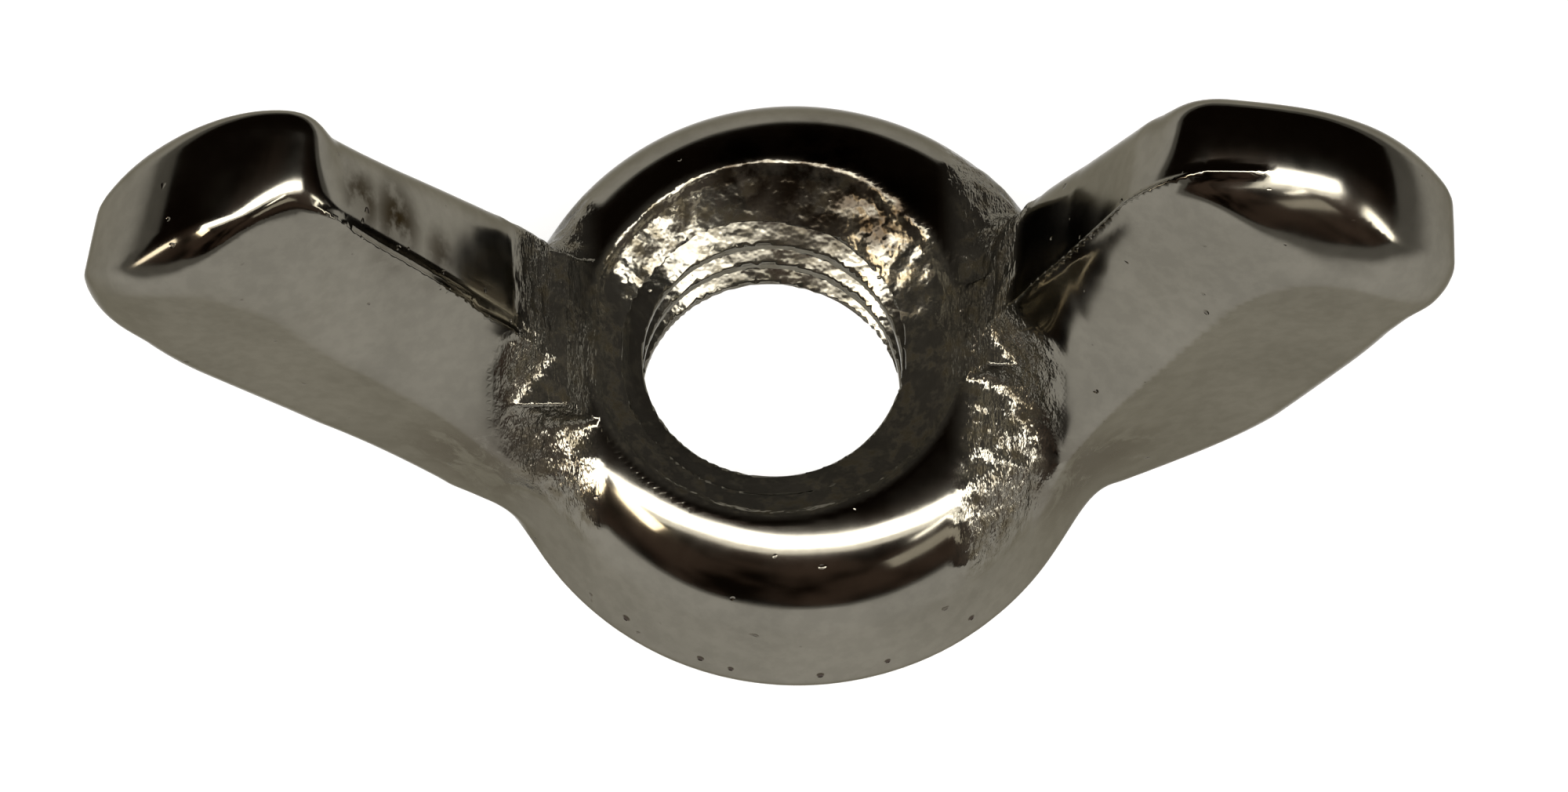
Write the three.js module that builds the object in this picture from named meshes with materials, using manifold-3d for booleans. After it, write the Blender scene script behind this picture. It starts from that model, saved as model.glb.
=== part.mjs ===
// A wing nut: one cast body with a tapped M8 bore and two wings, in millimetres.
// The origin is on the bearing face at the bore's axis, +Z runs out of the open end of the hub,
// and the wings lie along X. The hub is cast a little off the bore's axis, towards +X.
import * as THREE from "three";
import { mergeVertices } from "three/addons/utils/BufferGeometryUtils.js";
import Module from "manifold-3d";

// Thread, ISO metric coarse M8
const THREAD_PITCH = 1.25;
const THREAD_MINOR_RADIUS = 3.35;
const THREAD_MAJOR_RADIUS = 4.0;
const THREAD_ROWS_PER_PITCH = 8;
const THREAD_SEGMENTS = 36;

// Hub
const HUB_OFFSET_X = 0.65;
const HUB_BASE_RADIUS = 7.85;
const HUB_BASE_ROUNDING = 0.5;
const HUB_DRAFT = THREE.MathUtils.degToRad(8);
const SHOULDER_RADIUS = 2.85;
const SHOULDER_CENTRE_RADIUS = 4.5;
const SHOULDER_CENTRE_HEIGHT = 2.0;
const HUB_SEGMENTS = 48;
const ROUND_SEGMENTS = 7;

// Bore and the dished recess around its open end
const BORE_TOP_HEIGHT = 3.75;
const ENTRY_CHAMFER = 0.35;
const RECESS_RADIUS = 4.9;
const RECESS_TOP_HEIGHT = 4.85;
const RECESS_WALL_HEIGHT = 4.3;
const RECESS_WALL_RADIUS = 4.55;
const CUT_CLEARANCE = 1.5;

// Wings
const WING_TIP_X = 16.8;
const WING_THICKNESS = 3.9;
const WING_EDGE_ROUNDING = 0.8;
const WING_ROOT_X = 6.0;
const WING_SWELL_END_X = 13.5;
const WING_ROOT_SWELL = 0.6;
const WING_TAPER_START_X = 14.2;
const WING_TAPER_END_X = 17.2;

const wasm = await Module();
wasm.setup();

// A closed three.js geometry as a manifold-3d solid.
function toSolid(geometry) {
  const bare = geometry.clone();
  bare.deleteAttribute("normal");
  bare.deleteAttribute("uv");
  const merged = mergeVertices(bare, 1e-4);
  return new wasm.Manifold(
    new wasm.Mesh({
      numProp: 3,
      vertProperties: new Float32Array(merged.attributes.position.array),
      triVerts: new Uint32Array(merged.index.array),
    }),
  );
}

// A manifold-3d solid as a three.js geometry.
function toGeometry(solid) {
  const mesh = solid.getMesh();
  const geometry = new THREE.BufferGeometry();
  geometry.setAttribute("position", new THREE.BufferAttribute(mesh.vertProperties, 3));
  geometry.setIndex(new THREE.BufferAttribute(mesh.triVerts, 1));
  geometry.computeVertexNormals();
  return geometry;
}

// Points of an arc in the (radius, height) plane, from one angle to another.
function arcPoints(centreRadius, centreHeight, radius, fromAngle, toAngle) {
  const points = [];
  for (let i = 0; i <= ROUND_SEGMENTS; i++) {
    const angle = fromAngle + ((toAngle - fromAngle) * i) / ROUND_SEGMENTS;
    points.push(
      new THREE.Vector2(
        centreRadius + radius * Math.cos(angle),
        centreHeight + radius * Math.sin(angle),
      ),
    );
  }
  return points;
}

// A solid of revolution about the Z axis, from a profile of (radius, height) points.
function latheAboutZ(profile, segments) {
  return new THREE.LatheGeometry(profile, segments).rotateX(Math.PI / 2);
}

// The hub before boring: a drafted wall that runs into a large round shoulder.
function hubSolid() {
  const profile = [
    new THREE.Vector2(0, 0),
    ...arcPoints(
      HUB_BASE_RADIUS - HUB_BASE_ROUNDING,
      HUB_BASE_ROUNDING,
      HUB_BASE_ROUNDING,
      -Math.PI / 2,
      HUB_DRAFT,
    ),
    ...arcPoints(
      SHOULDER_CENTRE_RADIUS,
      SHOULDER_CENTRE_HEIGHT,
      SHOULDER_RADIUS,
      HUB_DRAFT,
      Math.PI / 2,
    ),
    new THREE.Vector2(0, SHOULDER_CENTRE_HEIGHT + SHOULDER_RADIUS),
  ];
  const hub = latheAboutZ(profile, HUB_SEGMENTS);
  hub.translate(HUB_OFFSET_X, 0, 0);
  return toSolid(hub);
}

// The plain bore at the thread's minor diameter, its entry chamfer and the dished recess.
function boreCutter() {
  const below = -CUT_CLEARANCE;
  const above = RECESS_TOP_HEIGHT + CUT_CLEARANCE;
  const entryRadius = THREAD_MINOR_RADIUS + ENTRY_CHAMFER;
  const profile = [
    new THREE.Vector2(0, below),
    new THREE.Vector2(entryRadius, below),
    new THREE.Vector2(entryRadius, 0),
    new THREE.Vector2(THREAD_MINOR_RADIUS, ENTRY_CHAMFER),
    new THREE.Vector2(THREAD_MINOR_RADIUS, BORE_TOP_HEIGHT),
    new THREE.Vector2(RECESS_WALL_RADIUS, RECESS_WALL_HEIGHT),
    new THREE.Vector2(RECESS_RADIUS, RECESS_TOP_HEIGHT),
    new THREE.Vector2(RECESS_RADIUS, above),
    new THREE.Vector2(0, above),
  ];
  return toSolid(latheAboutZ(profile, HUB_SEGMENTS));
}

// The radius of an ISO internal thread, by its phase along the axis, from 0 to 1 of a pitch:
// a flat crest a quarter of the pitch wide, 60 degree flanks and a root an eighth wide.
function threadRadius(phase) {
  const crestHalfWidth = 1 / 8;
  const rootHalfWidth = 1 / 16;
  const fromCrest = 0.5 - Math.abs(phase - 0.5);
  const flank = (fromCrest - crestHalfWidth) / (0.5 - crestHalfWidth - rootHalfWidth);
  const depth = THREE.MathUtils.clamp(flank, 0, 1);
  return THREE.MathUtils.lerp(THREAD_MINOR_RADIUS, THREAD_MAJOR_RADIUS, depth);
}

// The right-handed thread, as a cylinder whose radius follows the thread's helix.
function threadCutter() {
  const bottom = -THREAD_PITCH / 2;
  const rows = Math.ceil(((BORE_TOP_HEIGHT - bottom) / THREAD_PITCH) * THREAD_ROWS_PER_PITCH);
  const length = (rows * THREAD_PITCH) / THREAD_ROWS_PER_PITCH;
  const cutter = new THREE.CylinderGeometry(1, 1, length, THREAD_SEGMENTS, rows);
  cutter.rotateX(Math.PI / 2);
  cutter.translate(0, 0, bottom + length / 2);
  const position = cutter.attributes.position;
  for (let i = 0; i < position.count; i++) {
    const radius = Math.hypot(position.getX(i), position.getY(i));
    if (radius < 0.5) continue;
    const turn = Math.atan2(position.getY(i), position.getX(i)) / (2 * Math.PI);
    const along = position.getZ(i) / THREAD_PITCH - turn;
    const scale = threadRadius(along - Math.floor(along)) / radius;
    position.setXY(i, position.getX(i) * scale, position.getY(i) * scale);
  }
  return toSolid(cutter);
}

// The left wing's outline, x and z, drawn inside its rounded edges: inner edge, crowned pad,
// tip and straight outer edge.
function leftWingOutline() {
  const tipX = WING_EDGE_ROUNDING - WING_TIP_X;
  const outline = new THREE.Shape();
  outline.moveTo(-4.0, 2.0);
  outline.lineTo(-5.6, 4.2);
  outline.lineTo(-11.3, 12.8);
  outline.bezierCurveTo(-11.8, 13.6, -12.2, 14.5, -13.0, 14.4);
  outline.bezierCurveTo(-14.0, 14.2, -15.1, 12.5, -15.8, 11.2);
  outline.quadraticCurveTo(tipX - 0.1, 10.6, -15.7, 10.0);
  outline.quadraticCurveTo(-15.2, 9.3, -14.0, 7.8);
  outline.lineTo(-11.2, 4.4);
  outline.lineTo(-8.1, 1.3);
  outline.lineTo(-4.0, 1.2);
  return outline;
}

// The right wing's outline: its pad is longer and its outer edge is convex.
function rightWingOutline() {
  const tipX = WING_TIP_X - WING_EDGE_ROUNDING;
  const outline = new THREE.Shape();
  outline.moveTo(4.4, 1.2);
  outline.lineTo(8.6, 1.2);
  outline.quadraticCurveTo(10.7, 1.6, 12.3, 3.7);
  outline.quadraticCurveTo(13.8, 6.1, 15.0, 8.6);
  outline.quadraticCurveTo(15.4, 9.4, 15.7, 9.7);
  outline.quadraticCurveTo(tipX + 0.1, 10.1, 15.8, 10.6);
  outline.bezierCurveTo(14.9, 12.2, 13.2, 14.2, 10.8, 14.2);
  outline.bezierCurveTo(10.0, 14.2, 9.8, 13.6, 9.4, 12.7);
  outline.lineTo(7.9, 9.4);
  outline.quadraticCurveTo(6.6, 6.8, 5.8, 4.2);
  return outline;
}

// How thick a wing is against its nominal thickness: it swells to the hub and rounds off at the tip.
function thicknessFactor(distance) {
  const outward = THREE.MathUtils.smoothstep(distance, WING_ROOT_X, WING_SWELL_END_X);
  const swell = 1 + WING_ROOT_SWELL * (1 - outward) ** 2;
  const past = Math.max(0, distance - WING_TAPER_START_X) / (WING_TAPER_END_X - WING_TAPER_START_X);
  return swell * Math.sqrt(1 - past ** 2);
}

// A wing: its outline as a rounded plate across Y, with its thickness varied along it.
function wingSolid(outline) {
  const plate = new THREE.ExtrudeGeometry(outline, {
    depth: WING_THICKNESS - 2 * WING_EDGE_ROUNDING,
    bevelThickness: WING_EDGE_ROUNDING,
    bevelSize: WING_EDGE_ROUNDING,
    bevelSegments: 4,
    curveSegments: 6,
  });
  plate.translate(0, 0, -WING_THICKNESS / 2 + WING_EDGE_ROUNDING);
  plate.rotateX(Math.PI / 2);
  const position = plate.attributes.position;
  for (let i = 0; i < position.count; i++) {
    position.setY(i, position.getY(i) * thicknessFactor(Math.abs(position.getX(i))));
  }
  return toSolid(plate);
}

function wingNutBody() {
  const cast = hubSolid().add(wingSolid(leftWingOutline())).add(wingSolid(rightWingOutline()));
  return cast.subtract(boreCutter()).subtract(threadCutter());
}

const nickelPlate = new THREE.MeshStandardMaterial({
  color: 0xa39e93,
  roughness: 0.12,
  metalness: 1.0,
});

const wingNut = new THREE.Group();
const body = new THREE.Mesh(toGeometry(wingNutBody()), nickelPlate);
body.name = "wing_nut_body";
wingNut.add(body);

export default wingNut;
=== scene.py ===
"""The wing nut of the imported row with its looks: a fine cast body in bright nickel plate, on a pale
floor under a long soft lamp. Sizes are in millimetres until the mesh is made, and then in metres."""

import itertools
import math

import bpy
import numpy as np
from mathutils import Matrix, Vector


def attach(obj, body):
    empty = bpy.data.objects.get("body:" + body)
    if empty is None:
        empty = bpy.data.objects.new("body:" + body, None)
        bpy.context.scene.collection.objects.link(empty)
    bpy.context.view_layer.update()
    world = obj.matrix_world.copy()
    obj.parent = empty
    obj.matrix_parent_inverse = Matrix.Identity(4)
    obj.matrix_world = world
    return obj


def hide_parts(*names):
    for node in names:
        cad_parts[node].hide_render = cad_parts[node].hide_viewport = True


MM = 0.001

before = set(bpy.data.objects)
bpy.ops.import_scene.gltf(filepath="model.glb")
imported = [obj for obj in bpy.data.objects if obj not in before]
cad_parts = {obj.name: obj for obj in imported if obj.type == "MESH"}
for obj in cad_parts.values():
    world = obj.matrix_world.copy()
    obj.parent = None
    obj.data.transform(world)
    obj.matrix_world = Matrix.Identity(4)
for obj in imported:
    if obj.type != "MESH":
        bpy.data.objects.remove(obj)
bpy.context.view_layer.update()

# ---------------------------------------------------------------- sizes, in millimetres

THREAD_PITCH = 1.25
THREAD_MINOR_RADIUS = 3.3
THREAD_MAJOR_RADIUS = 4.0
# Half of the thread's flats, as shares of its pitch: at its crest and at its root.
CREST_HALF_FLAT = 1 / 8
ROOT_HALF_FLAT = 1 / 16

HUB_OFFSET_X = 0.65
HUB_BASE_RADIUS = 7.78
HUB_BASE_ROUNDING = 0.5
SHOULDER_RADIUS = 2.85
SHOULDER_CENTRE_RADIUS = 4.5
SHOULDER_CENTRE_HEIGHT = 2.0
HUB_TOP = SHOULDER_CENTRE_HEIGHT + SHOULDER_RADIUS
HUB_WALL_SLOPE = 0.27

BORE_TOP_HEIGHT = 3.6
ENTRY_CHAMFER = 0.35
RECESS_RADIUS = 4.9
RECESS_WALL_HEIGHT = 4.45
RECESS_WALL_RADIUS = 4.55

WING_THICKNESS = 3.9
WING_EDGE_ROUNDING = 0.8
WING_ROOT_X = 6.0
WING_SWELL_END_X = 13.5
WING_ROOT_FLARE = 0.25
WING_FLARE_SPAN = (6.2, 8.6)
WING_FLARE_DEPTH = 1.0
WING_TAPER_START_X = 14.2
WING_TAPER_LENGTH = 3.0
WING_TAPER_LIMIT = 0.98
# How far to each side of the parting ridge the front and back of the inner edge blend.
SIDE_BLEND = 0.2
# The bevel of a wing's front corner starts at the inner y at its pad's inner end, and narrows
# outwards until it starts at the outer y.
BEVEL_INNER_Y = -0.35
BEVEL_OUTER_Y = -2.2
BEVEL_SLOPE = 2.1
BEVEL_SOFTNESS = 0.25
# The bevel fades in along a wing, counted from the start of its pad, and across it.
BEVEL_FADE_ALONG = (-12.5, -1.5)
BEVEL_FADE_ACROSS = (-4.5, -2.5)
CURVE_STEPS = 40
OUTLINE_CELL = 0.15
OUTLINE_MARGIN = 3.0

ROOT_FILLET = 0.75
CREST_ROUNDING = 0.2
RIDGE_HEIGHT = 0.13
RIDGE_HALF_WIDTH = 0.11
RIDGE_START = (5.6, 6.6)
RIDGE_END = (10.6, 11.8)
RIDGE_WANDER = 0.06
RIDGE_WANDER_CELL = 1.4

# The flats left by the die beside the recess, at the two wing roots: each is a block whose
# inner face stands at a distance from the bore's axis and leans outwards as it rises.
LEFT_FLAT_X = 4.4
LEFT_FLAT_HALF_WIDTH = 2.1
RIGHT_FLAT_X = 4.5
RIGHT_FLAT_HALF_WIDTH = 1.2
FLAT_LEAN = 0.75
FLAT_FOOT = 3.6
FLAT_TOP = 5.6
FLAT_OUTER_X = 6.6
FLAT_FILLET = 0.25

# Layers of lumps in the casting: height, cell size, and a shift that keeps layers from lining up.
HAMMERED_LAYERS = [(0.07, 0.85, 3.0), (0.035, 0.4, 9.0)]
ROUGH_LAYERS = [(0.07, 0.8, 5.0), (0.05, 0.38, 1.0)]
WAVY_LAYERS = [(0.01, 2.6, 7.0)]
NOISE_SEED = 20
NOISE_CELLS = 32

# The recess is beaten in full at the sides of its back, and elsewhere by the least share.
BEATEN_SIDES = (1.0, 2.6)
BEATEN_BACK = (-1.5, 1.5)
BEATEN_LEAST = 0.15

# Where the cast skin is rough, as the spans over which it sets in or ends: out from the axis
# and up at the wing roots, and by radius and height in the recess and the thread.
ROOT_RISE = (4.2, 5.0)
ROOT_FOOT = (2.6, 3.6)
ROOT_LUMPS_END = (6.2, 7.4)
ROOT_LUMPS_TOP = (6.4, 7.6)
ROOT_SKIN_END = (6.2, 7.2)
ROOT_SKIN_TOP = (6.2, 7.2)
RECESS_SKIN_EDGE = (4.75, 5.0)
RECESS_SKIN_FOOT = (3.0, 3.8)
THREAD_SKIN_EDGE = (4.0, 4.2)
THREAD_SKIN = 0.6

# The mesh's cells: fine round the hub, between the inner marks of x and below the middle mark
# of z, and wider by this ratio in the wings beyond them.
FINE_STEP = 0.141
WING_STEP_RATIO = 1.3
GRID_X = (-17.4, -7.0, 8.8, 17.4)
GRID_Y = (-8.3, 8.3)
GRID_Z = (-0.45, 6.0, 15.9)
# The mesh's points are moved onto the surface in a few rounds, each by a limited step along the
# slope, which is measured over a short reach to both sides.
SETTLE_ROUNDS = 3
SETTLE_LIMIT = 0.06
SLOPE_REACH = 0.02
LEAST_STEEPNESS = 0.2

# ---------------------------------------------------------------- looks

PLATE_COLOUR = (0.146, 0.138, 0.117, 1.0)
PLATE_COLOUR_PALE = (0.183, 0.173, 0.147, 1.0)
PLATE_EDGE_TINT = (0.45, 0.44, 0.41, 1.0)
TARNISH_COLOUR = (0.06, 0.048, 0.026, 1.0)
STAIN_COLOUR = (0.1, 0.09, 0.075, 1.0)
PIT_COLOUR = (0.06, 0.05, 0.045, 1.0)
# The colour of painted dark reflections of the room, on the left wing and in the recess.
PAINTED_REFLECTION_COLOUR = (0.02, 0.015, 0.01, 1.0)

# Patterns of the plating: a noise, by grain size in millimetres, detail, roughness and warp, and
# the ramp that makes it a share, by the noise's low and high and what they become.
CLOUDS = ((2.6, 3.0), (0.35, 0.7, 0.0, 0.6))
MOTTLE = ((0.4, 3.0, 0.6), (0.35, 0.65, 0.0, 0.4))
SPECKS = ((0.35, 0.0), (0.82, 0.87))
STAINS = ((1.1, 4.0, 0.7, 0.6), (0.38, 0.52))
DIRT = ((0.5, 3.0, 0.65), (0.42, 0.66))
# The noise that breaks up the painted dark reflections.
PAINTED_REFLECTION_BREAKUP = ((0.9, 4.0, 0.6), (0.35, 0.55, 0.35, 1.0))
DULLNESS = ((1.6, 3.0), (0.3, 0.7, 0.09, 0.15))

# How strongly each pattern tells.
DIRT_SHARE = 0.75
STAIN_SHARE = 0.8
SPECK_SHARE = 0.5
GRIME_LEAST = 0.35
GRIME_SHARE = 0.3
SKIN_DULLNESS = 0.03
STAIN_DULLNESS = 0.2

# Relief of the plating: noises as above, and heights in millimetres.
WAVE_NOISE = (1.8, 1.0)
WAVE_HEIGHT = 0.015
GRAIN_NOISE = (0.42, 2.0, 0.5)
GRAIN_HEIGHT = 0.045
GROOVE_NOISE = (0.8, 3.0, 0.65)
GROOVE_STRETCH = (3.5, 0.8, 1.5)
GROOVE_HEIGHT = 0.16
MARK_DEPTH = 0.03

# Pits in the hub's front wall: degrees round from the front towards +X, height and radius.
PITS = [
    (-36.0, 1.2, 0.13),
    (-20.0, 1.0, 0.12),
    (-14.0, 0.9, 0.1),
    (3.0, 0.9, 0.12),
    (16.0, 1.0, 0.1),
    (34.0, 1.2, 0.12),
]
PIT_CORE = 0.5
# Smudged places, and places of painted dark reflection: x, y, z and how far each reaches. Pits,
# smudges and painted reflections are at full strength out to their core's share of that, and then
# fade.
SMUDGES = [
    (-7.4, -2.5, 3.6, 2.8),
    (7.8, -2.8, 3.0, 2.6),
]
SMUDGE_CORE = 0.2
# Painted dark reflections of the room: on the left wing by its pad, and at the back of the recess.
PAINTED_REFLECTION_SPOTS = [
    (-10.6, 0.4, 12.5, 1.3),
    (-9.8, 0.4, 11.2, 1.5),
    (-8.8, 0.2, 9.6, 1.1),
    (1.3, 4.4, 4.3, 2.3),
    (-0.6, 4.7, 4.4, 1.4),
    (3.0, 3.5, 4.3, 1.6),
]
PAINTED_REFLECTION_CORE = 0.35

# ---------------------------------------------------------------- stage, in metres

FLOOR_RADIUS = 3.0
FLOOR_HEIGHT = -0.00002
FLOOR_SIDES = 96
FLOOR_COLOUR = (0.2, 0.2, 0.2, 1.0)
# The floor glows of itself out to the inner distance from the nut, and no more at the outer one.
GLOW_COLOUR = (1.0, 0.99, 0.97, 1.0)
FLOOR_GLOW = 0.93
GLOW_INNER = 0.045
GLOW_OUTER = 0.09

ROOM_DARK = (0.012, 0.007, 0.004, 1.0)
ROOM_BROWN = (0.15, 0.1, 0.075, 1.0)
ROOM_PATCH_SCALE = 2.2
ROOM_PATCH_RAMP = (0.35, 0.65)
# The room is brown only in front: the y of a direction, from no brown to full brown.
ROOM_FRONT_RAMP = (0.1, -0.3)

# Lamps: name, place, length and width, watts and colour. Those longer than STRIP_LENGTH are strips.
STRIP_LENGTH = 1.0
WARM_WHITE = (1.0, 0.96, 0.86)
LAMPS = [
    ("long_lamp", (0.15, -0.23, 0.62), (1.9, 0.15), 11.0, (1.0, 0.98, 0.93)),
    ("soft_lamp", (0.15, -0.33, 0.62), (1.9, 0.12), 2.4, WARM_WHITE),
    ("right_lamp", (0.36, -0.3, 0.42), (0.12, 0.02), 0.12, WARM_WHITE),
    ("right_glow", (0.36, -0.4, 0.3), (0.24, 0.1), 0.09, (1.0, 0.95, 0.8)),
    ("right_window", (0.574, -0.154, 0.083), (0.05, 0.16), 0.25, WARM_WHITE),
    ("left_lamp", (-0.43, -0.24, 0.36), (0.16, 0.1), 0.6, (1.0, 0.84, 0.6)),
    ("left_window", (-0.6, -0.12, 0.05), (0.08, 0.2), 0.4, (1.0, 0.88, 0.7)),
]

# The camera: angles in degrees, and its distance, target and sideways shift in millimetres.
VIEW_AZIMUTH = -5.0
VIEW_ELEVATION = 67.73
VIEW_ROLL = 3.7
VIEW_DISTANCE = 180.0
VIEW_LENS = 159.8
VIEW_TARGET = (0.0, 0.0, -0.35)
VIEW_SLIDE = (0.373, 0.44)
SENSOR_WIDTH = 36.0
CLIP_RANGE = (0.01, 20.0)


# ---------------------------------------------------------------- small maths helpers


def smoothstep(value, start, end):
    """0 before start, 1 after end, and a smooth climb between them."""
    t = np.clip((value - start) / (end - start), 0.0, 1.0)
    return t * t * (3.0 - 2.0 * t)


def band(value, rise, fall):
    """1 within a band and 0 outside it: rise and fall are the (start, end) spans of its edges."""
    return smoothstep(value, *rise) * (1.0 - smoothstep(value, *fall))


def smooth_union(a, b, radius):
    """The nearer of two distances, with a fillet where they are about equal."""
    h = np.maximum(radius - np.abs(a - b), 0.0) / radius
    return np.minimum(a, b) - h * h * radius / 4.0


def smooth_cut(a, b, radius):
    """The farther of two distances, with a rounded edge where they are about equal."""
    return -smooth_union(-a, -b, radius)


NOISE_TABLE = np.random.default_rng(NOISE_SEED).random((NOISE_CELLS,) * 3) * 2.0 - 1.0


def lumps(x, y, z, scale, shift=0.0):
    """Smooth value noise from -1 to 1 with cells of the given size."""
    places = [axis / scale + shift for axis in (x, y, z)]
    cells = [np.floor(place).astype(int) for place in places]
    fades = [place - cell for place, cell in zip(places, cells)]
    fades = [fade * fade * (3.0 - 2.0 * fade) for fade in fades]
    total = 0.0
    for i, j, k in itertools.product((0, 1), repeat=3):
        corner = NOISE_TABLE[
            (cells[0] + i) % NOISE_CELLS,
            (cells[1] + j) % NOISE_CELLS,
            (cells[2] + k) % NOISE_CELLS,
        ]
        weight = 1.0
        for side, fade in zip((i, j, k), fades):
            weight = weight * (fade if side else 1.0 - fade)
        total = total + corner * weight
    return total


def layered_lumps(x, y, z, layers):
    """The sum of several layers of lumps, each with its height, its cell size and its shift."""
    return sum(height * lumps(x, y, z, cell, shift) for height, cell, shift in layers)


# ---------------------------------------------------------------- wing outlines


def curve(points):
    """The points of a Bezier curve of any order, without its first point."""
    control = np.array(points, float)
    made = []
    for t in np.linspace(0.0, 1.0, CURVE_STEPS + 1)[1:]:
        level = control
        while len(level) > 1:
            level = level[:-1] * (1.0 - t) + level[1:] * t
        made.append(level[0])
    return made


def outline(start, steps):
    """A closed outline from a start point and its steps, each a list of one, two or three points:
    a line's end, or the control points and the end of a curve."""
    points = [np.array(start, float)]
    for step in steps:
        points.extend(curve([points[-1], *step]) if len(step) > 1 else np.array(step, float))
    return np.array(points)


def left_outline():
    """The left wing's x and z, inside its rounded edges: inner edge, pad, tip and outer edge."""
    return outline(
        (-4.0, 2.0),
        [
            [(-5.5, 4.1)],
            [(-11.1, 13.0)],
            [(-11.4, 13.45), (-11.6, 14.05), (-12.5, 14.15)],
            [(-13.7, 14.25), (-15.1, 12.4), (-15.95, 11.0)],
            [(-16.1, 10.6), (-15.7, 10.0)],
            [(-15.2, 9.3), (-14.0, 7.8)],
            [(-11.2, 4.4)],
            [(-8.1, 1.3)],
            [(-4.0, 1.2)],
        ],
    )


def right_outline():
    """The right wing's x and z: its pad is longer and its outer edge is convex."""
    return outline(
        (4.4, 1.2),
        [
            [(8.9, 0.8)],
            [(10.9, 1.2), (12.3, 3.65)],
            [(13.5, 6.2), (14.6, 8.8)],
            [(15.05, 9.6), (15.45, 10.0)],
            [(15.9, 10.3), (15.65, 10.8)],
            [(14.8, 12.2), (13.2, 14.0), (10.8, 14.1)],
            [(10.0, 14.1), (9.5, 13.6), (9.05, 12.7)],
            [(7.75, 9.4)],
            [(6.55, 6.7), (5.6, 4.3)],
        ],
    )


def outline_distance(x, z, points):
    """Distance to a closed outline in the XZ plane, negative inside it."""
    nearest = np.full(np.broadcast(x, z).shape, np.inf)
    inside = np.zeros(nearest.shape, bool)
    for (ax, az), (bx, bz) in zip(points, np.roll(points, -1, axis=0)):
        side_x, side_z = bx - ax, bz - az
        along = ((x - ax) * side_x + (z - az) * side_z) / (side_x**2 + side_z**2)
        along = np.clip(along, 0.0, 1.0)
        gap = (x - ax - along * side_x) ** 2 + (z - az - along * side_z) ** 2
        nearest = np.minimum(nearest, gap)
        if side_z != 0.0:
            crosses = (az > z) != (bz > z)
            inside ^= crosses & (x < ax + (z - az) * side_x / side_z)
    return np.where(inside, -1.0, 1.0) * np.sqrt(nearest)


def spline_weights(t):
    """The four weights of a cubic B-spline at a place t from 0 to 1 between its middle knots."""
    return (
        (1.0 - t) ** 3 / 6.0,
        (3.0 * t**3 - 6.0 * t**2 + 4.0) / 6.0,
        (-3.0 * t**3 + 3.0 * t**2 + 3.0 * t + 1.0) / 6.0,
        t**3 / 6.0,
    )


class OutlineField:
    """The distance to an outline, kept on a grid and read back as a smooth spline surface."""

    def __init__(self, points):
        self.low = points.min(axis=0) - OUTLINE_MARGIN
        high = points.max(axis=0) + OUTLINE_MARGIN
        self.count = np.ceil((high - self.low) / OUTLINE_CELL).astype(int) + 1
        x = self.low[0] + OUTLINE_CELL * np.arange(self.count[0])
        z = self.low[1] + OUTLINE_CELL * np.arange(self.count[1])
        self.table = outline_distance(x[:, None], z[None, :], points)

    def knots(self, value, axis):
        """The first of the four knots round each value along an axis, and the knots' weights."""
        place = (value - self.low[axis]) / OUTLINE_CELL
        place = np.clip(place, 1.0, self.count[axis] - 2.001)
        first = np.floor(place).astype(int)
        return first - 1, spline_weights(place - first)

    def distance(self, x, z):
        """The smoothed distance to the outline, negative inside it."""
        column, column_weights = self.knots(x, 0)
        row, row_weights = self.knots(z, 1)
        total = 0.0
        for i, j in itertools.product(range(4), repeat=2):
            total = total + self.table[column + i, row + j] * column_weights[i] * row_weights[j]
        return total


# Each wing: its outline; its lean from level in degrees; the spans along and across it over which
# its pad and its inner side set in; its pad's edge rounding, forward tilt, crown and skew; the span
# of x over which its bevel narrows; the drafts of its inner edge behind and in front of the parting
# ridge, and that edge's front rounding; its swell at the root; and where across it the ridge runs.
LEFT_WING = {
    "outline": OutlineField(left_outline()),
    "lean": 48.0,
    "pad_start": (17.0, 19.0),
    "inner_side": (-4.0, -1.5),
    "pad_rounding": 0.6,
    "pad_tilt": 0.2,
    "pad_crown": 0.02,
    "pad_skew": 0.22,
    "bevel_span": (10.8, 15.6),
    "back_draft": 0.05,
    "front_draft": 0.3,
    "front_rounding": 1.2,
    "root_swell": 0.4,
    "ridge_y": -0.5,
}
RIGHT_WING = {
    "outline": OutlineField(right_outline()),
    "lean": 58.0,
    "pad_start": (16.0, 18.0),
    "inner_side": (-6.0, -3.0),
    "pad_rounding": 0.9,
    "pad_tilt": 0.34,
    "pad_crown": 0.18,
    "pad_skew": 0.0,
    "bevel_span": (8.8, 13.4),
    "back_draft": 0.26,
    "front_draft": 0.9,
    "front_rounding": 1.5,
    "root_swell": 0.6,
    "ridge_y": -0.1,
}


# ---------------------------------------------------------------- the body as a distance field


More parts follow.
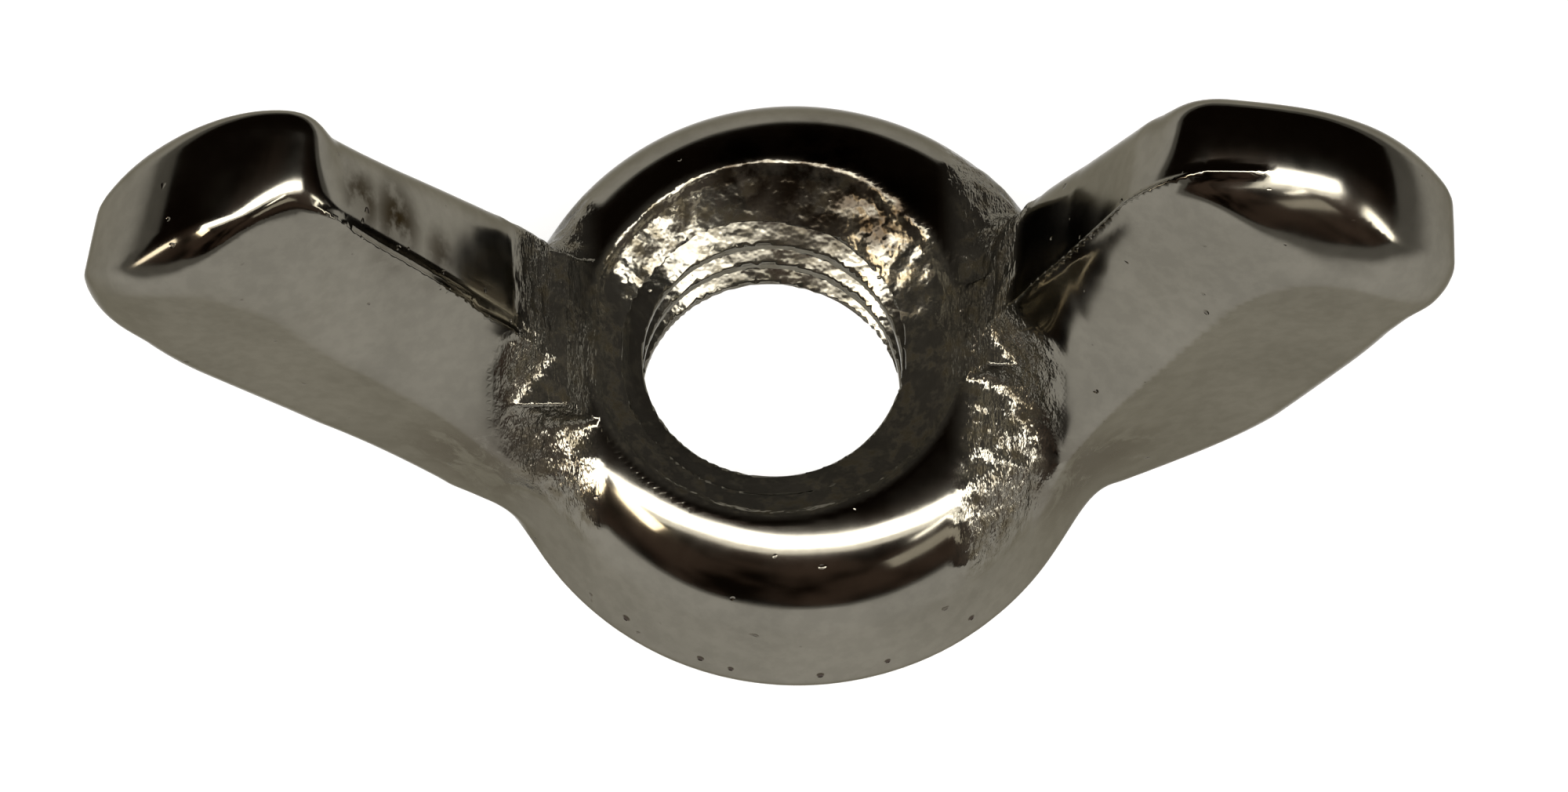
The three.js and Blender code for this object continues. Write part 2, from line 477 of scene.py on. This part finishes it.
def hub_distance(x, y, z):
    """The hub before boring: a drafted wall that runs into a large round shoulder. Its profile is
    a straight line between a small circle at the foot and a large one at the shoulder."""
    radius = np.hypot(x - HUB_OFFSET_X, y)
    foot = np.array([HUB_BASE_RADIUS - HUB_BASE_ROUNDING, HUB_BASE_ROUNDING])
    shoulder = np.array([SHOULDER_CENTRE_RADIUS, SHOULDER_CENTRE_HEIGHT])
    axis = foot - shoulder
    length = np.dot(axis, axis)
    from_r, from_z = radius - shoulder[0], z - shoulder[1]
    across = np.abs(from_r * axis[1] - from_z * axis[0]) / length
    along = (from_r * axis[0] + from_z * axis[1]) / length
    narrowing = SHOULDER_RADIUS - HUB_BASE_ROUNDING
    flank = np.sqrt(length - narrowing**2)
    turn = flank * along - narrowing * across
    wall = flank * across + narrowing * along - SHOULDER_RADIUS
    to_shoulder = np.hypot(from_r, from_z) - SHOULDER_RADIUS
    to_foot = np.hypot(from_r - axis[0], from_z - axis[1]) - HUB_BASE_ROUNDING
    rim = np.where(turn < 0.0, to_shoulder, np.where(turn > flank, to_foot, wall))
    core = np.maximum(radius - SHOULDER_CENTRE_RADIUS, z - HUB_TOP)
    skirt = np.maximum(radius - (HUB_BASE_RADIUS - HUB_BASE_ROUNDING), z - HUB_BASE_ROUNDING)
    return np.maximum(np.minimum(np.minimum(rim, core), skirt), -z)


def wing_thickness_factor(distance, root_swell):
    """A wing's thickness against its nominal one: it swells to the hub and rounds off at the tip."""
    outward = smoothstep(distance, WING_ROOT_X, WING_SWELL_END_X)
    swell = 1.0 + root_swell * (1.0 - outward) ** 2
    past = np.clip((distance - WING_TAPER_START_X) / WING_TAPER_LENGTH, 0.0, WING_TAPER_LIMIT)
    return swell * np.sqrt(1.0 - past**2)


def bevel_depth(x, y, wing):
    """How far the bevel lowers a wing's front corner: it is widest at the pad's inner end."""
    outward = smoothstep(np.abs(x), *wing["bevel_span"])
    bevel_y = BEVEL_INNER_Y + (BEVEL_OUTER_Y - BEVEL_INNER_Y) * outward
    below = bevel_y - y
    return BEVEL_SLOPE * 0.5 * (below + np.sqrt(below**2 + BEVEL_SOFTNESS**2))


def wing_zones(x, z, wing):
    """How far a place belongs to a wing's pad, to its inner side and to its bevel, from 0 to 1."""
    lean = np.radians(wing["lean"])
    along = np.abs(x) * np.cos(lean) + z * np.sin(lean)
    above = z * np.cos(lean) - np.abs(x) * np.sin(lean)
    pad = smoothstep(along, *wing["pad_start"])
    inner = smoothstep(above, *wing["inner_side"])
    fade_in = [wing["pad_start"][0] + reach for reach in BEVEL_FADE_ALONG]
    bevelled = smoothstep(along, *fade_in) * smoothstep(above, *BEVEL_FADE_ACROSS)
    return pad, inner, bevelled


def edge_rounding(side, pad, inner, wing):
    """The rounding of a wing's edges, which differs on the pad and in front of the ridge."""
    front = smoothstep(-side, -SIDE_BLEND, SIDE_BLEND)
    side_rounding = wing["front_rounding"] * front + WING_EDGE_ROUNDING * (1.0 - front)
    rounding = WING_EDGE_ROUNDING + (wing["pad_rounding"] - WING_EDGE_ROUNDING) * pad
    return rounding + (side_rounding - rounding) * inner


def wing_distance(x, y, z, wing):
    """A wing: a plate with a crowned pad, and an inner edge that falls away from its ridge."""
    thickness = wing_thickness_factor(np.abs(x), wing["root_swell"])
    flare = WING_ROOT_FLARE * (1.0 - smoothstep(np.abs(x), *WING_FLARE_SPAN))
    thickness = thickness + flare * smoothstep(-y, 0.0, WING_FLARE_DEPTH)
    pad, inner, bevelled = wing_zones(x, z, wing)
    side = y / thickness - wing["ridge_y"]
    rounding = edge_rounding(side, pad, inner, wing)
    draft = wing["front_draft"] * np.maximum(-side, 0.0)
    draft = draft + wing["back_draft"] * np.maximum(side, 0.0)
    rise = (wing["pad_tilt"] * y - wing["pad_crown"] * y**2) * pad
    rise = rise - bevel_depth(x, y, wing) * bevelled
    edge = wing["outline"].distance(x - wing["pad_skew"] * y * pad, z - rise)
    edge = edge - WING_EDGE_ROUNDING + rounding + draft * inner * (1.0 - pad)
    face = np.abs(y) / thickness - (WING_THICKNESS / 2.0 - rounding)
    beyond = np.hypot(np.maximum(edge, 0.0), np.maximum(face, 0.0))
    return np.minimum(np.maximum(edge, face), 0.0) + beyond - rounding


def parting_ridge(x, y, z):
    """Height of the thin ridge that the two halves of the mould leave along the inner edges."""
    reach = band(np.abs(x), RIDGE_START, RIDGE_END)
    wander = RIDGE_WANDER * lumps(x, 0.0 * y, z, RIDGE_WANDER_CELL)
    line = np.where(x < 0.0, LEFT_WING["ridge_y"], RIGHT_WING["ridge_y"])
    swell = np.where(x < 0.0, LEFT_WING["root_swell"], RIGHT_WING["root_swell"])
    line = line * wing_thickness_factor(np.abs(x), swell) + wander
    return RIDGE_HEIGHT * reach * np.exp(-(((y - line) / RIDGE_HALF_WIDTH) ** 2))


def thread_radius(x, y, z):
    """The radius of the tapped bore: ISO profile, right-handed."""
    turn = np.arctan2(y, x) / (2.0 * np.pi)
    phase = np.mod(z / THREAD_PITCH - turn, 1.0)
    from_crest = 0.5 - np.abs(phase - 0.5)
    flank = 0.5 - CREST_HALF_FLAT - ROOT_HALF_FLAT
    depth = np.clip((from_crest - CREST_HALF_FLAT) / flank, 0.0, 1.0)
    return THREAD_MINOR_RADIUS + (THREAD_MAJOR_RADIUS - THREAD_MINOR_RADIUS) * depth


def cone_distance(radius, z, low, high):
    """How far outside the line through two (radius, height) points a place is, negative within."""
    along_r, along_z = high[0] - low[0], high[1] - low[1]
    length = np.hypot(along_r, along_z)
    return ((radius - low[0]) * along_z - (z - low[1]) * along_r) / length


def cut_distance(x, y, z):
    """The space of the bore, its thread, its entry chamfer and the dished recess."""
    radius = np.hypot(x, y)
    minor = THREAD_MINOR_RADIUS
    top = (minor, BORE_TOP_HEIGHT)
    bend = (RECESS_WALL_RADIUS, RECESS_WALL_HEIGHT)
    rim = (RECESS_RADIUS, HUB_TOP)
    thread = radius - thread_radius(x, y, z)
    entry = cone_distance(radius, -z, (minor, -ENTRY_CHAMFER), (minor + ENTRY_CHAMFER, 0.0))
    dish = np.maximum(cone_distance(radius, z, top, bend), cone_distance(radius, z, bend, rim))
    hammered = layered_lumps(x, y, z, HAMMERED_LAYERS)
    beaten = smoothstep(np.abs(x), *BEATEN_SIDES) * smoothstep(y, *BEATEN_BACK)
    beaten = BEATEN_LEAST + (1.0 - BEATEN_LEAST) * beaten
    dish = np.maximum(dish, radius - RECESS_RADIUS) + hammered * beaten
    return np.minimum(np.minimum(thread, entry), dish)


def flat_distance(x, y, z, side, face_x, half_width):
    """The block at a wing root whose leaning face closes the recess with a straight edge."""
    outward = side * x
    face = (face_x + FLAT_LEAN * (z - RECESS_WALL_HEIGHT) - outward) / np.hypot(1.0, FLAT_LEAN)
    ends = np.maximum(np.abs(y) - half_width, z - FLAT_TOP)
    return np.maximum(np.maximum(face, ends), np.maximum(FLAT_FOOT - z, outward - FLAT_OUTER_X))


def cast_roughness(x, y, z):
    """How far the cast skin stands out: smooth on the shoulder, rough where the wings join."""
    near_root = band(np.abs(x), ROOT_RISE, ROOT_LUMPS_END) * band(z, ROOT_FOOT, ROOT_LUMPS_TOP)
    rough = layered_lumps(x, y, z, ROUGH_LAYERS)
    return near_root * rough + layered_lumps(x, y, z, WAVY_LAYERS)


def body_distance(x, y, z):
    """The whole wing nut: negative in the metal, positive outside it."""
    hub = hub_distance(x, y, z)
    left = wing_distance(x, y, z, LEFT_WING)
    right = wing_distance(x, y, z, RIGHT_WING)
    cast = smooth_union(hub, np.minimum(left, right), ROOT_FILLET)
    cast = cast - cast_roughness(x, y, z) - parting_ridge(x, y, z)
    cast = np.maximum(cast, -z)
    bored = smooth_cut(cast, -cut_distance(x, y, z), CREST_ROUNDING)
    left_flat = flat_distance(x, y, z, -1.0, LEFT_FLAT_X, LEFT_FLAT_HALF_WIDTH)
    right_flat = flat_distance(x, y, z, 1.0, RIGHT_FLAT_X, RIGHT_FLAT_HALF_WIDTH)
    return smooth_union(bored, np.minimum(left_flat, right_flat), FLAT_FILLET)


# ---------------------------------------------------------------- field to mesh


def grid_lines(marks, steps):
    """Grid positions from mark to mark, each span between two marks with its own step."""
    spans = zip(marks, marks[1:], steps)
    lines = [np.linspace(a, b, int(round((b - a) / step)), endpoint=False) for a, b, step in spans]
    return np.concatenate([*lines, marks[-1:]])


def gradient(points):
    """The field's gradient at each point, by central differences."""
    columns = []
    for axis in range(3):
        step = np.zeros(3)
        step[axis] = SLOPE_REACH
        ahead, behind = points + step, points - step
        columns.append(body_distance(*ahead.T) - body_distance(*behind.T))
    return np.stack(columns, axis=1) / (2.0 * SLOPE_REACH)


def net_points(values, axes, mixed):
    """One point in each mixed cell: the mean of where the field changes sign on its edges."""
    total = np.zeros((*mixed.shape, 3))
    count = np.zeros(mixed.shape)
    corners = np.meshgrid(*axes, indexing="ij")
    for axis in range(3):
        low = [slice(None)] * 3
        high = [slice(None)] * 3
        low[axis], high[axis] = slice(None, -1), slice(1, None)
        low, high = tuple(low), tuple(high)
        a, b = values[low], values[high]
        crossed = (a < 0.0) != (b < 0.0)
        part = np.where(crossed, a / np.where(crossed, a - b, 1.0), 0.0)
        place = np.stack([c[low] + part * (c[high] - c[low]) for c in corners], axis=-1)
        place = place * crossed[..., None]
        others = [other for other in range(3) if other != axis]
        for shifts in itertools.product((0, 1), repeat=2):
            pick = [slice(None)] * 3
            for other, shift in zip(others, shifts):
                pick[other] = slice(shift, values.shape[other] - 1 + shift)
            total += place[tuple(pick)]
            count += crossed[tuple(pick)]
    return total[mixed] / count[mixed][:, None]


def net_faces(values, numbers):
    """One quad round each grid edge on which the field changes sign, facing outwards."""
    faces = []
    for axis in range(3):
        u, v = (axis + 1) % 3, (axis + 2) % 3
        low = [slice(1, -1)] * 3
        high = [slice(1, -1)] * 3
        low[axis], high[axis] = slice(None, -1), slice(1, None)
        a, b = values[tuple(low)] < 0.0, values[tuple(high)] < 0.0
        quad = []
        for shift_u, shift_v in ((0, 0), (1, 0), (1, 1), (0, 1)):
            pick = [slice(None)] * 3
            pick[u] = slice(shift_u, numbers.shape[u] - 1 + shift_u)
            pick[v] = slice(shift_v, numbers.shape[v] - 1 + shift_v)
            quad.append(numbers[tuple(pick)])
        quad = np.stack(quad, axis=-1)
        faces.append(quad[a & ~b])
        faces.append(quad[b & ~a][:, ::-1])
    return np.concatenate(faces)


def mixed_cells(values):
    """Which cells have some corners in the metal and some outside it."""
    inside = (values < 0.0).astype(np.int8)
    shape = tuple(n - 1 for n in values.shape)
    corners = np.zeros(shape, np.int8)
    for i, j, k in itertools.product((0, 1), repeat=3):
        corners += inside[i : i + shape[0], j : j + shape[1], k : k + shape[2]]
    return (corners > 0) & (corners < 8)


def settled(points):
    """The points moved along the field's gradient onto its zero surface."""
    for _ in range(SETTLE_ROUNDS):
        slope = gradient(points)
        steepness = np.maximum((slope**2).sum(axis=1), LEAST_STEEPNESS)
        move = body_distance(*points.T) / steepness
        points = points - np.clip(move, -SETTLE_LIMIT, SETTLE_LIMIT)[:, None] * slope
    return points


def surface(axes):
    """The field's zero surface as vertices, quads and unit normals."""
    values = body_distance(*np.meshgrid(*axes, indexing="ij", sparse=True))
    mixed = mixed_cells(values)
    numbers = np.full(mixed.shape, -1)
    numbers[mixed] = np.arange(np.count_nonzero(mixed))
    points = settled(net_points(values, axes, mixed))
    faces = net_faces(values, numbers)
    slope = gradient(points)
    normals = slope / np.maximum(np.linalg.norm(slope, axis=1, keepdims=True), 1e-9)
    return points, faces, normals


def wing_nut_mesh():
    """The body's fine mesh in metres, with the field's own normals."""
    step = FINE_STEP
    wide = step * WING_STEP_RATIO
    axes = [
        grid_lines(GRID_X, (wide, step, wide)),
        grid_lines(GRID_Y, (step,)),
        grid_lines(GRID_Z, (step, wide)),
    ]
    points, faces, normals = surface(axes)
    mesh = bpy.data.meshes.new("wing_nut")
    mesh.vertices.add(len(points))
    mesh.vertices.foreach_set("co", (points * MM).astype(np.float32).ravel())
    mesh.loops.add(faces.size)
    mesh.loops.foreach_set("vertex_index", faces.astype(np.int32).ravel())
    mesh.polygons.add(len(faces))
    mesh.polygons.foreach_set("loop_start", np.arange(0, faces.size, 4, dtype=np.int32))
    mesh.update(calc_edges=True)
    mesh.polygons.foreach_set("use_smooth", np.ones(len(faces), bool))
    mesh.normals_split_custom_set_from_vertices(normals.tolist())
    rough = mesh.attributes.new("cast_skin", "FLOAT", "POINT")
    rough.data.foreach_set("value", cast_skin(points).astype(np.float32))
    return mesh


def cast_skin(points):
    """How rough the plated skin is at each point: 1 in the recess and at the wing roots."""
    x, y, z = points.T
    radius = np.hypot(x, y)
    recess = (1.0 - smoothstep(radius, *RECESS_SKIN_EDGE)) * smoothstep(z, *RECESS_SKIN_FOOT)
    root = band(np.abs(x), ROOT_RISE, ROOT_SKIN_END) * band(z, ROOT_FOOT, ROOT_SKIN_TOP)
    thread = 1.0 - smoothstep(radius, *THREAD_SKIN_EDGE)
    return np.maximum(np.maximum(recess, root), THREAD_SKIN * thread)


# ---------------------------------------------------------------- material


class Nodes:
    """A short way to add and join the nodes of one material or world."""

    def __init__(self, tree):
        self.tree = tree
        self.tree.nodes.clear()

    def add(self, kind, inputs=None, **settings):
        """A new node with its settings made and its sockets fed."""
        node = self.tree.nodes.new(kind)
        for name, value in settings.items():
            setattr(node, name, value)
        for key, value in (inputs or {}).items():
            self.feed(node.inputs[key], value)
        return node

    def feed(self, socket, value):
        """Joins a socket to another node's, or sets its value."""
        if isinstance(value, bpy.types.NodeSocket):
            self.tree.links.new(value, socket)
        else:
            socket.default_value = value

    def math(self, operation, *values):
        """A sum, product or other operation on one or two values."""
        return self.add("ShaderNodeMath", dict(enumerate(values)), operation=operation).outputs[0]

    def noise(self, vector, size, detail=2.0, rough=0.5, warp=0.0):
        """Noise with grains of the given size in millimetres."""
        inputs = {
            "Vector": vector,
            "Scale": 1.0 / (size * MM),
            "Detail": detail,
            "Roughness": rough,
            "Distortion": warp,
        }
        return self.add("ShaderNodeTexNoise", inputs).outputs["Fac"]

    def ramp(self, value, low, high, to_low=0.0, to_high=1.0):
        """A smooth change from one value to another as the input goes from low to high."""
        inputs = {
            "Value": value,
            "From Min": low,
            "From Max": high,
            "To Min": to_low,
            "To Max": to_high,
        }
        node = self.add("ShaderNodeMapRange", inputs, interpolation_type="SMOOTHSTEP")
        return node.outputs["Result"]

    def mix(self, factor, first, second):
        """A mix of two colours, which are the mix node's sockets 6 and 7."""
        node = self.add("ShaderNodeMix", data_type="RGBA")
        self.feed(node.inputs[0], factor)
        self.feed(node.inputs[6], first)
        self.feed(node.inputs[7], second)
        return node.outputs[2]

    def bump(self, height, distance, normal=None):
        """A normal bent by a height pattern that stands the given millimetres high."""
        inputs = {"Height": height, "Strength": 1.0, "Distance": distance * MM}
        if normal is not None:
            inputs["Normal"] = normal
        return self.add("ShaderNodeBump", inputs).outputs["Normal"]


def pattern(nodes, place, noise, ramp):
    """One of the plating's patterns: its noise put through its ramp."""
    return nodes.ramp(nodes.noise(place, *noise), *ramp)


def near_spot(nodes, place, centre, radius, core):
    """1 within a share of a spot's radius from its centre in millimetres, fading to 0 at it."""
    inputs = {0: place, 1: [c * MM for c in centre]}
    away = nodes.add("ShaderNodeVectorMath", inputs, operation="DISTANCE").outputs["Value"]
    return nodes.ramp(away, radius * MM * core, radius * MM, 1.0, 0.0)


def near_any(nodes, place, spots, core):
    """The largest share that a place has in any of the (x, y, z, radius) spots."""
    total = 0.0
    for *centre, radius in spots:
        near = near_spot(nodes, place, centre, radius, core)
        total = nodes.math("MAXIMUM", total, near)
    return total


def hub_wall_place(turn, height):
    """A place on the hub's wall: degrees round from the front towards +X, and a height."""
    angle = math.radians(turn)
    radius = HUB_BASE_RADIUS - HUB_WALL_SLOPE * (height - HUB_BASE_ROUNDING)
    return (HUB_OFFSET_X + radius * math.sin(angle), -radius * math.cos(angle), height)


def plate_marks(nodes, place):
    """The pits in the hub's wall, and dark specks anywhere."""
    pits = [(*hub_wall_place(turn, height), radius) for turn, height, radius in PITS]
    specks = nodes.math("MULTIPLY", pattern(nodes, place, *SPECKS), SPECK_SHARE)
    return nodes.math("MAXIMUM", near_any(nodes, place, pits, PIT_CORE), specks)


def plate_colour(nodes, place, dirt, stains, marks):
    """Clouded nickel with tarnish, stains and pits over it, and painted dark reflections of the room.
    """
    cloudy = nodes.math("ADD", pattern(nodes, place, *CLOUDS), pattern(nodes, place, *MOTTLE))
    colour = nodes.mix(cloudy, PLATE_COLOUR, PLATE_COLOUR_PALE)
    colour = nodes.mix(nodes.math("MULTIPLY", dirt, DIRT_SHARE), colour, TARNISH_COLOUR)
    colour = nodes.mix(nodes.math("MULTIPLY", stains, STAIN_SHARE), colour, STAIN_COLOUR)
    colour = nodes.mix(marks, colour, PIT_COLOUR)
    # Painted dark reflections of the room, laid over the colour in patches.
    painted_reflection = near_any(nodes, place, PAINTED_REFLECTION_SPOTS, PAINTED_REFLECTION_CORE)
    painted_reflection = nodes.math("MULTIPLY", painted_reflection, pattern(nodes, place, *PAINTED_REFLECTION_BREAKUP))
    return nodes.mix(painted_reflection, colour, PAINTED_REFLECTION_COLOUR)


def plate_roughness(nodes, place, skin, stains):
    """Nearly a mirror, and duller on the cast skin and in the stains."""
    roughness = pattern(nodes, place, *DULLNESS)
    roughness = nodes.math("ADD", roughness, nodes.math("MULTIPLY", skin, SKIN_DULLNESS))
    return nodes.math("ADD", roughness, nodes.math("MULTIPLY", stains, STAIN_DULLNESS))


def root_grooves(nodes, place, skin):
    """Short filing grooves across the wings' roots, beside the recess."""
    inputs = {0: place, 1: GROOVE_STRETCH}
    stretched = nodes.add("ShaderNodeVectorMath", inputs, operation="MULTIPLY").outputs["Vector"]
    sides = nodes.add("ShaderNodeSeparateXYZ", {"Vector": place}).outputs["X"]
    outside = nodes.ramp(nodes.math("ABSOLUTE", sides), *(x * MM for x in ROOT_RISE))
    grooves = nodes.noise(stretched, *GROOVE_NOISE)
    return nodes.math("MULTIPLY", nodes.math("MULTIPLY", grooves, outside), skin)


def plate_relief(nodes, place, skin, marks):
    """The plating's normal: slow waves all over, grain and grooves in the cast skin, and pits."""
    grain = nodes.math("MULTIPLY", nodes.noise(place, *GRAIN_NOISE), skin)
    normal = nodes.bump(nodes.noise(place, *WAVE_NOISE), WAVE_HEIGHT)
    normal = nodes.bump(grain, GRAIN_HEIGHT, normal)
    normal = nodes.bump(root_grooves(nodes, place, skin), GROOVE_HEIGHT, normal)
    return nodes.bump(nodes.math("MULTIPLY", marks, -1.0), MARK_DEPTH, normal)


def nickel_plate():
    """Bright nickel over a casting: mirror-like, a little wavy, tarnished where it is rough."""
    material = bpy.data.materials.new("nickel_plate")
    material.use_nodes = True
    nodes = Nodes(material.node_tree)
    place = nodes.add("ShaderNodeTexCoord").outputs["Object"]
    skin = nodes.add("ShaderNodeAttribute", attribute_name="cast_skin").outputs["Fac"]
    marks = plate_marks(nodes, place)
    smudged = near_any(nodes, place, SMUDGES, SMUDGE_CORE)
    stains = nodes.math("MULTIPLY", pattern(nodes, place, *STAINS), smudged)
    dirt = nodes.math("MULTIPLY", pattern(nodes, place, *DIRT), skin)
    grime = nodes.math("MULTIPLY", nodes.ramp(dirt, 0.0, 1.0, GRIME_LEAST, 1.0), skin)
    grime = nodes.math("MULTIPLY", grime, GRIME_SHARE)
    inputs = {
        "Base Color": plate_colour(nodes, place, dirt, stains, marks),
        "Metallic": nodes.math("SUBTRACT", 1.0, grime),
        "Roughness": plate_roughness(nodes, place, skin, stains),
        "Specular Tint": PLATE_EDGE_TINT,
        "Normal": plate_relief(nodes, place, skin, marks),
    }
    shader = nodes.add("ShaderNodeBsdfPrincipled", inputs)
    nodes.add("ShaderNodeOutputMaterial", {"Surface": shader.outputs[0]})
    return material


# ---------------------------------------------------------------- stage


def floor_material():
    """A pale sheet, bright enough of itself that the nut leaves no dark shadow on it."""
    material = bpy.data.materials.new("pale_floor")
    material.use_nodes = True
    nodes = Nodes(material.node_tree)
    place = nodes.add("ShaderNodeTexCoord").outputs["Object"]
    away = nodes.add("ShaderNodeVectorMath", {0: place}, operation="LENGTH").outputs["Value"]
    glow = nodes.ramp(away, GLOW_INNER, GLOW_OUTER, FLOOR_GLOW, 0.0)
    inputs = {
        "Base Color": FLOOR_COLOUR,
        "Roughness": 0.9,
        "Specular IOR Level": 0.0,
        "Emission Color": GLOW_COLOUR,
        "Emission Strength": glow,
    }
    shader = nodes.add("ShaderNodeBsdfPrincipled", inputs)
    nodes.add("ShaderNodeOutputMaterial", {"Surface": shader.outputs[0]})
    return material


def floor():
    """A wide disc just under the nut."""
    bpy.ops.mesh.primitive_circle_add(
        vertices=FLOOR_SIDES,
        radius=FLOOR_RADIUS,
        fill_type="NGON",
        location=(0.0, 0.0, FLOOR_HEIGHT),
    )
    made = bpy.context.object
    made.name = "floor"
    made.data.materials.append(floor_material())


def room():
    """A dim room above the floor, brownish and patchy in front of the nut and nearly black behind it.
    """
    world = bpy.data.worlds.new("room")
    world.use_nodes = True
    bpy.context.scene.world = world
    nodes = Nodes(world.node_tree)
    place = nodes.add("ShaderNodeTexCoord").outputs["Generated"]
    inputs = {"Vector": place, "Scale": ROOM_PATCH_SCALE, "Detail": 2.0}
    patches = nodes.add("ShaderNodeTexNoise", inputs).outputs["Fac"]
    direction = nodes.add("ShaderNodeSeparateXYZ", {"Vector": place})
    front = nodes.ramp(direction.outputs["Y"], *ROOM_FRONT_RAMP)
    patches = nodes.math("MULTIPLY", nodes.ramp(patches, *ROOM_PATCH_RAMP), front)
    colour = nodes.mix(patches, ROOM_DARK, ROOM_BROWN)
    background = nodes.add("ShaderNodeBackground", {"Color": colour, "Strength": 1.0})
    nodes.add("ShaderNodeOutputWorld", {"Surface": background.outputs[0]})


def lamp(name, place, size, watts, colour):
    """A rectangular soft lamp that faces the nut. A strip is turned only about the X axis, so that
    its long side stays parallel to it."""
    data = bpy.data.lights.new(name, "AREA")
    data.shape = "RECTANGLE"
    data.size, data.size_y = size
    data.energy = watts
    data.color = colour
    away = Vector(place)
    if size[0] > STRIP_LENGTH:
        away.x = 0.0
    made = bpy.data.objects.new(name, data)
    made.location = place
    made.rotation_mode = "QUATERNION"
    made.rotation_quaternion = away.to_track_quat("Z", "Y")
    bpy.context.scene.collection.objects.link(made)


def view_axes():
    """The camera's right, up and backward directions."""
    azimuth, elevation = math.radians(VIEW_AZIMUTH), math.radians(VIEW_ELEVATION)
    roll = math.radians(VIEW_ROLL)
    level = math.cos(elevation)
    back = Vector((math.sin(azimuth) * level, -math.cos(azimuth) * level, math.sin(elevation)))
    level_right = (-back).cross(Vector((0.0, 0.0, 1.0))).normalized()
    level_up = level_right.cross(-back)
    right = math.cos(roll) * level_right + math.sin(roll) * level_up
    up = math.cos(roll) * level_up - math.sin(roll) * level_right
    return right, up, back


def camera():
    """The camera: high in front of the nut, a little to its left and rolled."""
    right, up, back = view_axes()
    data = bpy.data.cameras.new("camera")
    data.sensor_width = SENSOR_WIDTH
    data.lens = VIEW_LENS
    data.clip_start, data.clip_end = CLIP_RANGE
    made = bpy.data.objects.new("camera", data)
    turn = Matrix((right, up, back)).transposed().to_4x4()
    target = Vector(VIEW_TARGET) * MM + (right * VIEW_SLIDE[0] + up * VIEW_SLIDE[1]) * MM
    made.matrix_world = Matrix.Translation(target + back * VIEW_DISTANCE * MM) @ turn
    bpy.context.scene.collection.objects.link(made)
    bpy.context.scene.camera = made


# ---------------------------------------------------------------- the scene

body = bpy.data.objects.new("wing_nut", wing_nut_mesh())
bpy.context.scene.collection.objects.link(body)
body.data.materials.append(nickel_plate())
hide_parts("wing_nut_body")
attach(body, "root")

floor()
room()
for settings in LAMPS:
    lamp(*settings)
camera()
bpy.context.scene.view_settings.view_transform = "Standard"
